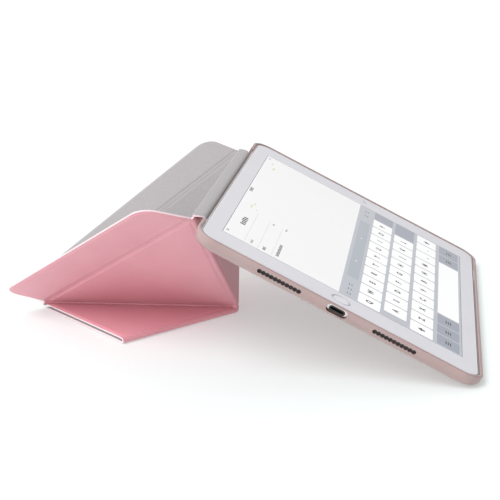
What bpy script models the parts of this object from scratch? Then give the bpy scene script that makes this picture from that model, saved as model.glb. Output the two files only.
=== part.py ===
"""Origami folio case holding a tablet, propped up in its low typing stance.

A hard shell grips the tablet.  A soft cover, hinged to the shell through a narrow spine band, is
folded into a Y-shaped trough that props the tablet's hinge side.  Units are metres, +Z is up, the
hinge runs along Y and the origin is the bottom centre of the object's bounding box.
"""
import math

import bmesh
import bpy
from mathutils import Matrix, Vector

# ------------------------------------------------------------------ driving dimensions
ORIGIN_TO_SCREEN_X = 0.06992     # centre of the glass, from the origin
ORIGIN_TO_SCREEN_Z = 0.04532
TABLET_TILT = math.radians(28.0)

TABLET_WIDTH = 0.1695            # across the hinge
TABLET_LENGTH = 0.2400           # along the hinge
TABLET_THICKNESS = 0.0061
TABLET_CORNER = 0.0100
TABLET_EDGE_ROUND = 0.0032
SCREEN_WIDTH = 0.1478
SCREEN_LENGTH = 0.1971

CLEARANCE = 0.0003
SHELL_WALL = 0.0017
SHELL_BACK = 0.0081              # depth of the shell's back below the glass
SHELL_LIP = 0.0005               # height of the lip above the glass
HULL_INSET = 0.0080              # the shell's side is a quarter ellipse this deep in plane
HULL_TOP = 0.0020                # and it starts this far below the glass
HINGE_WALL_TOP = 0.0050          # the wall on the hinge side stops this far below the glass
HINGE_GAP_LENGTH = 0.1900

FRONT_DEPTH = 0.0805             # cover crease to the point where the folds meet
FOLD_HALF = 0.0903               # centre line to each strip crease
COVER_DEPTH = 0.1665             # cover crease to the free edge
STRIP_WIDTH = 0.0294
STRIP_START = 0.0035
STRIP_CORNER = 0.0120
FREE_CORNER = 0.0095
STRIP_FOLD_NEAR = math.radians(-5.0)
STRIP_FOLD_FAR = math.radians(20.0)
FAR_WALL_LAP = 0.0030            # the far wall's foot runs on past its crease

SKIN = 0.0004
LINING = 0.0004
BOARD = 0.0007
LAYER_GAP = 0.00025
COVER_THICKNESS = SKIN + BOARD + LINING + 2 * LAYER_GAP
FLAP_GAP = 0.0004                # between the two flaps folded flat on each other

SPINE_WIDTH = 0.0063
SPINE_REST_DIRECTION = (-0.0485, 0.0400)
SPINE_HINGE_U = -0.0864          # measured from the glass centre
SPINE_HINGE_N = -0.0045
SPINE_LAYER_GAP = 0.0003
SPINE_THICKNESS = SKIN + LINING + SPINE_LAYER_GAP
SPINE_HALF = 0.0860

SPLIT = 0.00035                  # each panel stops this far from its creases
BOARD_SETBACK = 0.00175
BOARD_EDGE = 0.0025
FLAP_SETBACK = 0.0014
COVER_HINGE_SETBACK = 0.0020
SPINE_SETBACK = 0.0011

FEATURE_N = -0.0030              # height of the side features, from the glass
HOME_V = -0.10925
HOME_RADIUS = 0.00545
SPEAKER_U = 0.0346
SPEAKER_COUNT = 11
SPEAKER_PITCH = 0.00235
SPEAKER_RADIUS = 0.00135
CAMERA_UV = (0.0705, 0.1070)
JACK_U = -0.0640
POWER_U = 0.0620
VOLUME_V = (0.0870, 0.0735)

CORNER_STEPS = 6
ROUND_STEPS = 24


# ------------------------------------------------------------------ scene and materials
def clear_scene():
    for item in list(bpy.data.objects):
        bpy.data.objects.remove(item, do_unlink=True)


def finish(name, colour, roughness=0.5, metallic=0.0, transmission=0.0):
    """A plain Principled material, made once for each name."""
    found = bpy.data.materials.get(name)
    if found:
        return found
    material = bpy.data.materials.new(name)
    material.use_nodes = True
    shader = material.node_tree.nodes["Principled BSDF"]
    shader.inputs["Base Color"].default_value = (*colour, 1.0)
    shader.inputs["Roughness"].default_value = roughness
    shader.inputs["Metallic"].default_value = metallic
    shader.inputs["Transmission Weight"].default_value = transmission
    return material


PINK = dict(colour=(0.66, 0.27, 0.32), roughness=0.55)
FELT = dict(colour=(0.47, 0.44, 0.45), roughness=0.95)
CARD = dict(colour=(0.55, 0.50, 0.42), roughness=0.80)
SHELL = dict(colour=(0.50, 0.33, 0.31), roughness=0.35)
SILVER = dict(colour=(0.75, 0.72, 0.71), roughness=0.30, metallic=1.0)
WHITE_GLASS = dict(colour=(0.84, 0.84, 0.88), roughness=0.05)
DARK = dict(colour=(0.03, 0.03, 0.035), roughness=0.40)
STEEL = dict(colour=(0.60, 0.60, 0.60), roughness=0.25, metallic=1.0)


# ------------------------------------------------------------------ outlines
def arc(centre, radius, start, stop, steps):
    """Points on an arc, both ends included; angles in degrees."""
    points = []
    for step in range(steps + 1):
        angle = math.radians(start + (stop - start) * step / steps)
        points.append((centre[0] + radius * math.cos(angle), centre[1] + radius * math.sin(angle)))
    return points


def rounded_rectangle(half_u, half_v, radius, steps=CORNER_STEPS):
    """Counter-clockwise outline with round corners."""
    points = []
    corners = ((1, 1, 0), (-1, 1, 90), (-1, -1, 180), (1, -1, 270))
    for side_u, side_v, start in corners:
        centre = (side_u * (half_u - radius), side_v * (half_v - radius))
        points += arc(centre, radius, start, start + 90, steps)
    return points


def slot_outline(length, height, steps=5):
    """A round-ended slot along the first axis."""
    radius = height / 2
    reach = length / 2 - radius
    return arc((reach, 0), radius, -90, 90, steps) + arc((-reach, 0), radius, 90, 270, steps)


def scalloped_outline(count, pitch, radius, steps=3):
    """The outline of a row of holes that run into each other."""
    half_overlap = math.degrees(math.acos(pitch / 2 / radius))
    first = -(count - 1) * pitch / 2
    points = arc((first, 0), radius, 180, 360 - half_overlap, steps + 1)[:-1]
    for index in range(1, count - 1):
        centre = (first + index * pitch, 0)
        points += arc(centre, radius, 180 + half_overlap, 360 - half_overlap, steps)[:-1]
    points += arc((-first, 0), radius, half_overlap - 180, 180 - half_overlap, 2 * steps)[:-1]
    for index in range(count - 2, 0, -1):
        centre = (first + index * pitch, 0)
        points += arc(centre, radius, half_overlap, 180 - half_overlap, steps)[:-1]
    points += arc((first, 0), radius, half_overlap, 180, steps + 1)[:-1]
    return points


def inset(polygon, distances):
    """Move each edge of a convex polygon inwards by its own distance."""
    centre = sum((Vector(point) for point in polygon), Vector((0, 0))) / len(polygon)
    lines = []
    for index, point in enumerate(polygon):
        start = Vector(point)
        along = (Vector(polygon[(index + 1) % len(polygon)]) - start).normalized()
        normal = Vector((-along.y, along.x))
        if normal.dot(centre - start) < 0:
            normal = -normal
        lines.append((normal, normal.dot(start) + distances[index]))
    moved = []
    for index, (normal, offset) in enumerate(lines):
        before, before_offset = lines[index - 1]
        solve = Matrix((before, normal)).inverted()
        moved.append(tuple(solve @ Vector((before_offset, offset))))
    return moved


# ------------------------------------------------------------------ solids
def new_object(name, mesh_data, look, parent=None):
    material_name, settings = look
    mesh = bpy.data.meshes.new(name)
    mesh_data.normal_update()
    mesh_data.to_mesh(mesh)
    mesh_data.free()
    item = bpy.data.objects.new(name, mesh)
    bpy.context.scene.collection.objects.link(item)
    mesh.materials.append(finish(material_name, **settings))
    item.parent = parent
    return item


def loft(name, rings, look, parent=None):
    """Skin a stack of equal rings and cap both ends."""
    data = bmesh.new()
    rows = [[data.verts.new(point) for point in ring] for ring in rings]
    for lower, upper in zip(rows, rows[1:]):
        for index in range(len(lower)):
            after = (index + 1) % len(lower)
            data.faces.new((lower[index], lower[after], upper[after], upper[index]))
    data.faces.new(list(reversed(rows[0])))
    data.faces.new(rows[-1])
    bmesh.ops.recalc_face_normals(data, faces=data.faces)
    item = new_object(name, data, look, parent)
    item.data.shade_smooth()
    item.data.set_sharp_from_angle(angle=math.radians(35))
    return item


def prism(name, outline, bottom, top, look, parent=None, axes=None, shift=(0, 0, 0)):
    """Extrude an outline; axes maps (outline x, outline y, height) to the parent's frame."""
    to_frame = axes or Matrix.Identity(3)
    shift = Vector(shift)
    rings = []
    for height in (bottom, top):
        rings.append([to_frame @ Vector((x, y, height)) + shift for x, y in outline])
    return loft(name, rings, look, parent)


def as_cutter(item):
    item.hide_render = True
    item.display_type = "WIRE"
    return item


def cut(target, cutter):
    """Subtract a closed cutter with an exact Boolean that stays on the target."""
    as_cutter(cutter)
    boolean = target.modifiers.new("cut_" + cutter.name, "BOOLEAN")
    boolean.operation = "DIFFERENCE"
    boolean.solver = "EXACT"
    boolean.object = cutter


def pivot(name, frame):
    """An empty that carries the pieces of one moving body."""
    empty = bpy.data.objects.new(name, None)
    bpy.context.scene.collection.objects.link(empty)
    empty.matrix_world = frame
    empty.empty_display_size = 0.01
    return empty


def turn_about(point, axis, angle):
    move = Matrix.Translation(Vector(point))
    return move @ Matrix.Rotation(angle, 4, Vector(axis)) @ move.inverted()


# ------------------------------------------------------------------ frames
def tablet_frame():
    """Origin at the centre of the glass: x across the hinge, y along it, z out of the screen."""
    turn = Matrix.Rotation(TABLET_TILT, 4, "Y")
    return Matrix.Translation((ORIGIN_TO_SCREEN_X, 0, ORIGIN_TO_SCREEN_Z)) @ turn


def spine_frame():
    """Origin on the shell hinge: x towards the cover crease, y along it, z on the outer side."""
    hinge = tablet_frame() @ Vector((SPINE_HINGE_U, 0, SPINE_HINGE_N))
    along = Vector((SPINE_REST_DIRECTION[0], 0, SPINE_REST_DIRECTION[1])).normalized()
    side = Vector((0, 1, 0))
    out = along.cross(side)
    frame = Matrix((along, side, out)).transposed().to_4x4()
    return Matrix.Translation(hinge) @ frame


def fold_points():
    """The crease pattern in the flat cover: x from the cover crease, y along it."""
    return {
        "front": Vector((FRONT_DEPTH, 0, 0)),
        "near_top": Vector((0, -FOLD_HALF, 0)),
        "far_top": Vector((0, FOLD_HALF, 0)),
        "near_back": Vector((COVER_DEPTH, -FOLD_HALF, 0)),
        "far_back": Vector((COVER_DEPTH, FOLD_HALF, 0)),
        "tip": Vector((COVER_DEPTH, 0, 0)),
    }


def fold_angles():
    """How far each crease is bent in the stand, from where the folded points meet.

    Both back points meet on the centre line, level with the front point, so the front panel's
    lean and the bends of the walls and of the flap follow from the crease pattern alone.
    """
    valley = math.hypot(COVER_DEPTH - FRONT_DEPTH, FOLD_HALF)
    lean = (COVER_DEPTH ** 2 - FRONT_DEPTH ** 2 - FOLD_HALF ** 2 - valley ** 2) / (2 * valley)
    height = math.sqrt(FRONT_DEPTH ** 2 - lean ** 2)
    front_normal = Vector((height, 0, -lean)).normalized()
    wall_normal = Vector((0, -height, -FOLD_HALF)).normalized()
    return {
        "direction": math.atan2(-height, -lean),
        "wall": front_normal.angle(wall_normal),
        "flap": wall_normal.angle(Vector((0, 0, 1))),
    }


def cover_frames():
    """World frames of the seven panels, each in the flat cover's coordinates."""
    points = fold_points()
    angles = fold_angles()
    outer = Vector((0, 0, COVER_THICKNESS))
    crease = spine_frame() @ Vector((SPINE_WIDTH, 0, 0))
    down = Vector((math.cos(angles["direction"]), 0, math.sin(angles["direction"])))
    side = Vector((0, 1, 0))
    out = down.cross(side)
    front = Matrix((down, side, out)).transposed().to_4x4()
    front = Matrix.Translation(crease - out * COVER_THICKNESS / 2) @ front
    near_wall = front @ turn_about(points["front"], points["near_top"] - points["front"],
                                   -angles["wall"])
    near_flap = near_wall @ turn_about(points["front"] + outer,
                                       points["near_back"] - points["front"], angles["flap"])
    far_flap = near_flap @ turn_about(points["front"] - Vector((0, 0, FLAP_GAP / 2)),
                                      points["tip"] - points["front"], -math.pi)
    far_wall = front @ turn_about(points["front"], points["far_top"] - points["front"],
                                  angles["wall"])
    near_strip = near_wall @ turn_about(points["near_top"], (1, 0, 0), STRIP_FOLD_NEAR)
    far_strip = far_wall @ turn_about(points["far_top"] + outer, (1, 0, 0), STRIP_FOLD_FAR)
    return {
        "front_panel": (front, Vector((0, 0, COVER_THICKNESS / 2))),
        "near_wall": (near_wall, points["front"]),
        "near_flap": (near_flap, points["front"] + outer),
        "far_flap": (far_flap, points["front"]),
        "far_wall": (far_wall, points["front"]),
        "near_strip": (near_strip, points["near_top"]),
        "far_strip": (far_strip, points["far_top"] + outer),
    }


# ------------------------------------------------------------------ the cover
def strip_outline(side):
    """Outline of an end strip; side is -1 near and +1 far."""
    edge = FOLD_HALF + STRIP_WIDTH
    start = (STRIP_START + STRIP_CORNER, edge - STRIP_CORNER)
    back = (COVER_DEPTH - FREE_CORNER, edge - FREE_CORNER)
    points = [(COVER_DEPTH, FOLD_HALF)]
    points += arc(back, FREE_CORNER, 0, 90, 5)
    points += arc(start, STRIP_CORNER, 90, 180, 5)
    points += [(STRIP_START, FOLD_HALF)]
    return [(x, side * y) for x, y in points]


def panel_outlines():
    """Each panel's corners, with the setback of the soft layers and of the board on each edge."""
    p = {key: tuple(value.to_2d()) for key, value in fold_points().items()}
    slope = math.atan2(FOLD_HALF, COVER_DEPTH - FRONT_DEPTH)
    lap_front = (FRONT_DEPTH + FAR_WALL_LAP / math.sin(slope), 0.0)
    lap_back = (COVER_DEPTH, FOLD_HALF - FAR_WALL_LAP / math.cos(slope))
    crease = (SPLIT, BOARD_SETBACK)
    free = (0.0, BOARD_EDGE)
    flap = (FLAP_SETBACK, FLAP_SETBACK + BOARD_SETBACK)
    hinge = (COVER_HINGE_SETBACK, COVER_HINGE_SETBACK + BOARD_SETBACK)
    return {
        "front_panel": ([p["near_top"], p["front"], p["far_top"]], [crease, crease, hinge]),
        "near_wall": ([p["near_top"], p["near_back"], p["front"]], [crease, crease, crease]),
        "near_flap": ([p["front"], p["near_back"], p["tip"]], [flap, free, crease]),
        "far_wall": ([p["far_top"], p["front"], lap_front, lap_back, p["far_back"]],
                     [crease, crease, crease, free, crease]),
        "far_flap": ([lap_front, lap_back, p["tip"]], [crease, free, crease]),
    }


def strip_layer(side, setback):
    """A strip's outline, pulled in from the crease and from its free edges."""
    inner, edge = setback
    points = []
    middle = (STRIP_START + COVER_DEPTH) / 2
    for x, y in strip_outline(side):
        along = x - math.copysign(edge, x - middle)
        across = abs(y)
        if across - FOLD_HALF < 1e-6:
            across += inner
        else:
            across -= edge
        points.append((along, side * across))
    return points


def layer_heights():
    lining_top = LINING
    board_bottom = lining_top + LAYER_GAP
    board_top = board_bottom + BOARD
    skin_bottom = board_top + LAYER_GAP
    return {
        "lining": (0.0, lining_top),
        "board": (board_bottom, board_top),
        "skin": (skin_bottom, skin_bottom + SKIN),
    }


LAYER_LOOKS = {
    "lining": ("felt_lining", FELT),
    "board": ("stiffener_card", CARD),
    "skin": ("pink_outer_skin", PINK),
}

MAGNET_SIZE = (0.0040, 0.0300)
MAGNET_INSET = 0.0070
MAGNET_Y = 0.0300


def build_cover():
    """Three layers for each of the seven panels, on that panel's own pivot."""
    outlines = panel_outlines()
    for panel, (frame, joint_point) in cover_frames().items():
        carrier = pivot("pivot_" + panel, frame @ Matrix.Translation(joint_point))
        for layer, (bottom, top) in layer_heights().items():
            board = layer == "board"
            if panel.endswith("strip"):
                side = -1 if panel.startswith("near") else 1
                outline = strip_layer(side, (BOARD_SETBACK, BOARD_EDGE) if board else (SPLIT, 0.0))
            else:
                corners, setbacks = outlines[panel]
                outline = inset(corners, [setback[1 if board else 0] for setback in setbacks])
            item = prism(panel + "_" + layer, outline, bottom, top, LAYER_LOOKS[layer], carrier,
                         shift=-joint_point)
            if board and panel.endswith("flap"):
                add_magnet(panel, item, carrier, joint_point)


def add_magnet(panel, board, carrier, joint_point):
    """A closing magnet in a window of the flap's board, beside the free edge."""
    side = -1 if panel.startswith("near") else 1
    bottom, top = layer_heights()["board"]
    centre = Vector((COVER_DEPTH - MAGNET_INSET, side * MAGNET_Y, 0)) - joint_point
    half_x, half_y = MAGNET_SIZE[0] / 2, MAGNET_SIZE[1] / 2
    corners = ((-half_x, -half_y), (half_x, -half_y), (half_x, half_y), (-half_x, half_y))
    magnet_outline = [(x, y) for x, y in corners]
    window_outline = [(x + math.copysign(CLEARANCE, x), y + math.copysign(CLEARANCE, y))
                      for x, y in corners]
    window = prism(panel + "_magnet_window", window_outline, bottom - 0.001, top + 0.001,
                   LAYER_LOOKS["board"], carrier, shift=centre)
    cut(board, window)
    prism(panel + "_magnet", magnet_outline, bottom, top, ("magnet_steel", STEEL), carrier,
          shift=centre)


def build_spine():
    """The narrow band that joins the cover to the shell's hinge side."""
    carrier = pivot("pivot_spine", spine_frame())
    start, stop = SPINE_SETBACK, SPINE_WIDTH - SPINE_SETBACK
    outline = [(start, -SPINE_HALF), (stop, -SPINE_HALF), (stop, SPINE_HALF), (start, SPINE_HALF)]
    middle = SPINE_THICKNESS / 2
    prism("spine_band_lining", outline, -middle, -middle + LINING, LAYER_LOOKS["lining"], carrier)
    prism("spine_band_skin", outline, middle - SKIN, middle, LAYER_LOOKS["skin"], carrier)


# ------------------------------------------------------------------ the shell
def outline_ring(half_u, half_v, corner, pull_in, height):
    outline = rounded_rectangle(half_u - pull_in, half_v - pull_in, corner - pull_in)
    return [(u, v, height) for u, v in outline]


def quarter_rings(size, first_inset, inset_depth, top, depth, steps):
    """Rings that follow a quarter ellipse, from the side round to the flat bottom."""
    rings = []
    for step in range(1, steps + 1):
        angle = math.pi / 2 * step / steps
        pull_in = first_inset + inset_depth * (1 - math.cos(angle))
        rings.append(outline_ring(*size, pull_in, top - depth * math.sin(angle)))
    return rings


def shell_size():
    margin = CLEARANCE + SHELL_WALL
    return TABLET_WIDTH / 2 + margin, TABLET_LENGTH / 2 + margin, TABLET_CORNER + margin


def side_axes(normal):
    """Axes of a cutter that goes in through a side: outline x along the side, y along z."""
    out = Vector(normal)
    up = Vector((0, 0, 1))
    return Matrix((up.cross(out), up, out)).transposed()


def side_point(along, side):
    """A point on the tablet's short side at the given place, 1 far and -1 near."""
    return Vector((along, side * TABLET_LENGTH / 2, FEATURE_N))


CUT_DEPTH = 0.0050


def build_shell(tablet):
    size = shell_size()
    hull = quarter_rings(size, 0.0, HULL_INSET, -HULL_TOP, SHELL_BACK - HULL_TOP, 6)
    lip_top = SHELL_LIP
    outer = [outline_ring(*size, 0.0, -HULL_TOP), outline_ring(*size, 0.0, -0.0002),
             outline_ring(*size, 0.0003, 0.0003), outline_ring(*size, 0.0008, lip_top),
             outline_ring(*size, 0.0013, lip_top), outline_ring(*size, SHELL_WALL, 0.0002)]
    floor = -TABLET_THICKNESS - CLEARANCE
    pocket_top = floor + TABLET_EDGE_ROUND
    pocket = [outline_ring(*size, SHELL_WALL, pocket_top)]
    pocket += quarter_rings(size, SHELL_WALL, TABLET_EDGE_ROUND, pocket_top, TABLET_EDGE_ROUND, 4)
    rings = list(reversed(hull)) + outer + pocket
    shell = loft("rear_shell", rings, ("rose_shell", SHELL), tablet)
    for index, opening in enumerate(shell_openings(tablet)):
        opening.name = "shell_opening_%d" % index
        cut(shell, opening)


def shell_openings(tablet):
    """Cutters for the hinge gap, the sound, charging and jack holes, the keys and the camera."""
    look = ("rose_shell", SHELL)
    gap_floor = -HINGE_WALL_TOP
    gap_side = -shell_size()[0]
    half = HINGE_GAP_LENGTH / 2
    yield prism("gap", [(gap_side - 0.002, -half), (gap_side + 0.004, -half),
                        (gap_side + 0.004, half), (gap_side - 0.002, half)],
                gap_floor, 0.004, look, tablet)
    for side in (-1, 1):
        for place in (-SPEAKER_U, SPEAKER_U):
            outline = scalloped_outline(SPEAKER_COUNT, SPEAKER_PITCH, SPEAKER_RADIUS)
            yield prism("sound", outline, -0.001, CUT_DEPTH, look, tablet,
                        side_axes((0, side, 0)), side_point(place, side))
    yield prism("charging", slot_outline(0.0126, 0.0052), -0.001, CUT_DEPTH, look, tablet,
                side_axes((0, -1, 0)), side_point(0, -1))
    yield prism("jack", slot_outline(0.0076, 0.0052), -0.001, CUT_DEPTH, look, tablet,
                side_axes((0, 1, 0)), side_point(JACK_U, 1))
    yield prism("power", slot_outline(0.0170, 0.0050), -0.001, CUT_DEPTH, look, tablet,
                side_axes((0, 1, 0)), side_point(POWER_U, 1))
    volume_middle = sum(VOLUME_V) / 2
    yield prism("volume", slot_outline(0.0320, 0.0050), -0.001, CUT_DEPTH, look, tablet,
                side_axes((1, 0, 0)), (TABLET_WIDTH / 2, volume_middle, FEATURE_N))
    yield prism("camera", arc((0, 0), 0.0075, 0, 345, ROUND_STEPS - 1), -0.012, -0.004, look,
                tablet, shift=(*CAMERA_UV, 0))


# ------------------------------------------------------------------ the tablet
RIM_TOP = -0.00025
GLASS_THICKNESS = 0.00070
GLASS_INSET = 0.00105
LEDGE_INSET = 0.00200
TRAY_FLOOR = -0.0052
SIDE_PIECE_REACH = 0.0006


def tablet_size():
    return TABLET_WIDTH / 2, TABLET_LENGTH / 2, TABLET_CORNER


def ring_solid(name, outer, inner, bottom, top, look, parent, axes=None, shift=(0, 0, 0)):
    """A tube with the given outer and inner outlines, which have equal counts."""
    to_frame = axes or Matrix.Identity(3)
    shift = Vector(shift)
    data = bmesh.new()

    def row(outline, height):
        return [data.verts.new(to_frame @ Vector((x, y, height)) + shift) for x, y in outline]

    rows = [row(outer, bottom), row(outer, top), row(inner, top), row(inner, bottom)]
    for first, second in zip(rows, rows[1:] + rows[:1]):
        for index in range(len(first)):
            after = (index + 1) % len(first)
            data.faces.new((first[index], first[after], second[after], second[index]))
    bmesh.ops.recalc_face_normals(data, faces=data.faces)
    item = new_object(name, data, look, parent)
    item.data.shade_smooth()
    item.data.set_sharp_from_angle(angle=math.radians(35))
    return item


def circle(radius, steps=ROUND_STEPS):
    return arc((0, 0), radius, 0, 360 - 360 / steps, steps - 1)


def build_housing(tablet):
    size = tablet_size()
    outer_floor = -TABLET_THICKNESS
    round_top = outer_floor + TABLET_EDGE_ROUND
    outside = quarter_rings(size, 0.0, TABLET_EDGE_ROUND, round_top, TABLET_EDGE_ROUND, 4)
    sides = [outline_ring(*size, 0.0, round_top), outline_ring(*size, 0.0, -0.0007),
             outline_ring(*size, 0.0003, RIM_TOP), outline_ring(*size, 0.0007, RIM_TOP)]
    ledge = RIM_TOP - GLASS_THICKNESS - CLEARANCE
    inside = [outline_ring(*size, 0.0007, ledge), outline_ring(*size, LEDGE_INSET, ledge),
              outline_ring(*size, LEDGE_INSET, -0.0034),
              outline_ring(*size, LEDGE_INSET + 0.0012, -0.0047),
              outline_ring(*size, LEDGE_INSET + 0.0030, TRAY_FLOOR)]
    rings = list(reversed(outside)) + sides + inside
    housing = loft("tablet_housing", rings, ("brushed_silver", SILVER), tablet)
    for index, opening in enumerate(housing_openings(tablet)):
        opening.name = "housing_opening_%d" % index
        cut(housing, opening)


SPEAKER_SLOT = (0.0258, 0.0026)
PORT_SLOT = (0.0090, 0.0026)
KEY_SLOT = (0.0096, 0.0022)
JACK_RADIUS = 0.0016
JACK_DROP = Vector((0, 0, -0.0004))
CAMERA_RADIUS = 0.0052


def housing_openings(tablet):
    look = ("brushed_silver", SILVER)
    room = 2 * CLEARANCE
    for side in (-1, 1):
        for place in (-SPEAKER_U, SPEAKER_U):
            yield prism("sound", slot_outline(SPEAKER_SLOT[0] + room, SPEAKER_SLOT[1] + room),
                        -CUT_DEPTH, CUT_DEPTH, look, tablet, side_axes((0, side, 0)),
                        side_point(place, side))
    yield prism("port", slot_outline(PORT_SLOT[0] + room, PORT_SLOT[1] + room),
                -CUT_DEPTH, CUT_DEPTH, look, tablet, side_axes((0, -1, 0)), side_point(0, -1))
    yield prism("jack", circle(JACK_RADIUS + CLEARANCE, 16), -CUT_DEPTH, CUT_DEPTH, look, tablet,
                side_axes((0, 1, 0)), side_point(JACK_U, 1) + JACK_DROP)
    for place, axes in key_places():
        yield prism("key", slot_outline(KEY_SLOT[0] + room, KEY_SLOT[1] + room), -CUT_DEPTH,
                    CUT_DEPTH, look, tablet, axes, place)
    yield prism("camera", circle(CAMERA_RADIUS + CLEARANCE), -0.012, -0.0040, look, tablet,
                shift=(*CAMERA_UV, 0))


def key_places():
    """Where the power and the two volume keys sit, and the axes they slide along."""
    places = [(side_point(POWER_U, 1), side_axes((0, 1, 0)))]
    for along in VOLUME_V:
        places.append((Vector((TABLET_WIDTH / 2, along, FEATURE_N)), side_axes((1, 0, 0))))
    return places


def build_glass(tablet):
    """The white-framed front glass, with holes for the home key and the front camera."""
    size = tablet_size()
    bottom = -GLASS_THICKNESS - CLEARANCE / 2
    rings = [outline_ring(*size, GLASS_INSET, bottom), outline_ring(*size, GLASS_INSET, -0.0002),
             outline_ring(*size, GLASS_INSET + 0.0002, 0.0)]
    glass = loft("front_glass", rings, ("white_glass", WHITE_GLASS), tablet)
    look = ("white_glass", WHITE_GLASS)
    cut(glass, prism("home_hole", circle(HOME_RADIUS + CLEARANCE, 32), -0.003, 0.003, look, tablet,
                     shift=(0, HOME_V, 0)))
    cut(glass, prism("front_camera_hole", circle(0.0017, 16), -0.003, 0.003, look, tablet,
                     shift=(0, -HOME_V, 0)))
    prism("front_camera_lens", circle(0.0014, 16), bottom, -0.0001, ("dark_lens", DARK), tablet,
          shift=(0, -HOME_V, 0))


DISPLAY_GAP = 0.0004
DISPLAY_THICKNESS = 0.0008
HOME_TRAVEL = 0.0003
HOME_PROUD = -0.0001


def build_home_key(tablet):
    """A flat key inside a thin bright ring."""
    bottom = -GLASS_THICKNESS - CLEARANCE / 2
    ring_solid("home_key_ring", circle(HOME_RADIUS, 32), circle(HOME_RADIUS - 0.0005, 32), bottom,
               0.0001, ("bright_ring", SILVER), tablet, shift=(0, HOME_V, 0))
    carrier = pivot("pivot_home_key", tablet.matrix_world @ Matrix.Translation((0, HOME_V, 0)))
    prism("home_key", circle(HOME_RADIUS - 0.0008, 32), -0.0020, HOME_PROUD,
          ("white_glass", WHITE_GLASS), carrier)


def build_side_keys(tablet):
    """The power and volume keys, each on its own pivot at its outer face."""
    names = ("power_key", "volume_up_key", "volume_down_key")
    for name, (place, axes) in zip(names, key_places()):
        carrier = pivot("pivot_" + name, tablet.matrix_world @ Matrix.Translation(place))
        prism(name, slot_outline(*KEY_SLOT), -0.0016, SIDE_PIECE_REACH, ("silver_key", SILVER),
              carrier, axes)


def build_side_pieces(tablet):
    """Speaker grilles, charging socket and headphone jack, all fixed in the housing."""
    for side, end in ((-1, "near"), (1, "far")):
        for place, half in ((-SPEAKER_U, "hinge"), (SPEAKER_U, "front")):
            prism("speaker_grille_%s_%s" % (end, half), slot_outline(*SPEAKER_SLOT), -0.0015,
                  -0.0003, ("grille_mesh", DARK), tablet, side_axes((0, side, 0)),
                  side_point(place, side))
    ring_solid("charging_socket", slot_outline(*PORT_SLOT),
               slot_outline(PORT_SLOT[0] - 0.0012, PORT_SLOT[1] - 0.0012), -0.0045, -0.0002,
               ("dark_socket", DARK), tablet, side_axes((0, -1, 0)), side_point(0, -1))
    ring_solid("headphone_jack", circle(JACK_RADIUS, 16), circle(JACK_RADIUS - 0.0006, 16),
               -0.0045, -0.0002, ("dark_socket", DARK), tablet, side_axes((0, 1, 0)),
               side_point(JACK_U, 1) + JACK_DROP)


def build_rear_camera(tablet):
    ring_solid("rear_camera_ring", circle(CAMERA_RADIUS), circle(CAMERA_RADIUS - 0.0009), -0.0072,
               -0.0056, ("bright_ring", SILVER), tablet, shift=(*CAMERA_UV, 0))
    prism("rear_camera_lens", circle(CAMERA_RADIUS - 0.0012), -0.0069, -0.0056,
          ("dark_lens", DARK), tablet, shift=(*CAMERA_UV, 0))


def plate(name, centre, size, bottom, top, look, parent):
    half_u, half_v = size[0] / 2, size[1] / 2
    return prism(name, rounded_rectangle(half_u, half_v, 0.002, 2), bottom, top, look, parent,
                 shift=(*centre, 0))


def build_inside(tablet):
    """The display, the battery and the logic board, sealed between glass and tray."""
    glass_bottom = -GLASS_THICKNESS - CLEARANCE / 2
    display_top = glass_bottom - DISPLAY_GAP
    display_bottom = display_top - DISPLAY_THICKNESS
    plate("display_panel", (0, 0), (SCREEN_WIDTH, SCREEN_LENGTH), display_bottom, display_top,
          ("display_stack", DARK), tablet)
    inner_top = display_bottom - 0.0003
    inner_bottom = TRAY_FLOOR + 0.0003
    plate("battery_pack", (-0.012, -0.015), (0.1150, 0.1500), inner_bottom, inner_top,
          ("battery_foil", DARK), tablet)
    plate("logic_board", (0.060, -0.015), (0.0220, 0.1500), inner_bottom + 0.0006,
          inner_top - 0.0005, ("circuit_board", dict(colour=(0.02, 0.12, 0.06), roughness=0.6)),
          tablet)


# ------------------------------------------------------------------ assembly
def main():
    clear_scene()
    tablet = pivot("tablet_centre", tablet_frame())
    bpy.context.view_layer.update()
    build_shell(tablet)
    build_housing(tablet)
    build_glass(tablet)
    build_home_key(tablet)
    build_side_keys(tablet)
    build_side_pieces(tablet)
    build_rear_camera(tablet)
    build_inside(tablet)
    build_spine()
    build_cover()


main()
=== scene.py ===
"""Looks for the folding tablet folio: soft cover, shell, tablet and screen around the CAD frame.

Units are metres. The cover is drawn in its flat pattern (x from the cover crease, y along the
hinge) and carried into place by each panel's frame, as the CAD does.
"""
import math

import bmesh
import bpy
from mathutils import Matrix, Vector


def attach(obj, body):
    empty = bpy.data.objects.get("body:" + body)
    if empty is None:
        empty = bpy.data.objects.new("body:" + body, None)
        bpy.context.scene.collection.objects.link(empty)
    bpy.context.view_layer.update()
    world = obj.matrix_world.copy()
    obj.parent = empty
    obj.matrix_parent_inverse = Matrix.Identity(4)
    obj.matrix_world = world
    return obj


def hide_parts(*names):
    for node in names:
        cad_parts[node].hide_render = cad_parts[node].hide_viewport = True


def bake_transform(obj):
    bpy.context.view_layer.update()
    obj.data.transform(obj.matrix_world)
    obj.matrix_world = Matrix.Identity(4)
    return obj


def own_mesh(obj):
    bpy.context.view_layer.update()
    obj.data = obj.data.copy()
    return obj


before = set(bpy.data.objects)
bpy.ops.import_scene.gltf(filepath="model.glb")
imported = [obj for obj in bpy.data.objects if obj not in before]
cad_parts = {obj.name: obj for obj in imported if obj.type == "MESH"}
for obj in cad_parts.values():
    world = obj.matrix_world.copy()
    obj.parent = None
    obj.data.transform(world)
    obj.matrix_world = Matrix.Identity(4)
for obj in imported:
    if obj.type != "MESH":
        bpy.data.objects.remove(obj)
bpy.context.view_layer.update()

MM = 0.001

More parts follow.
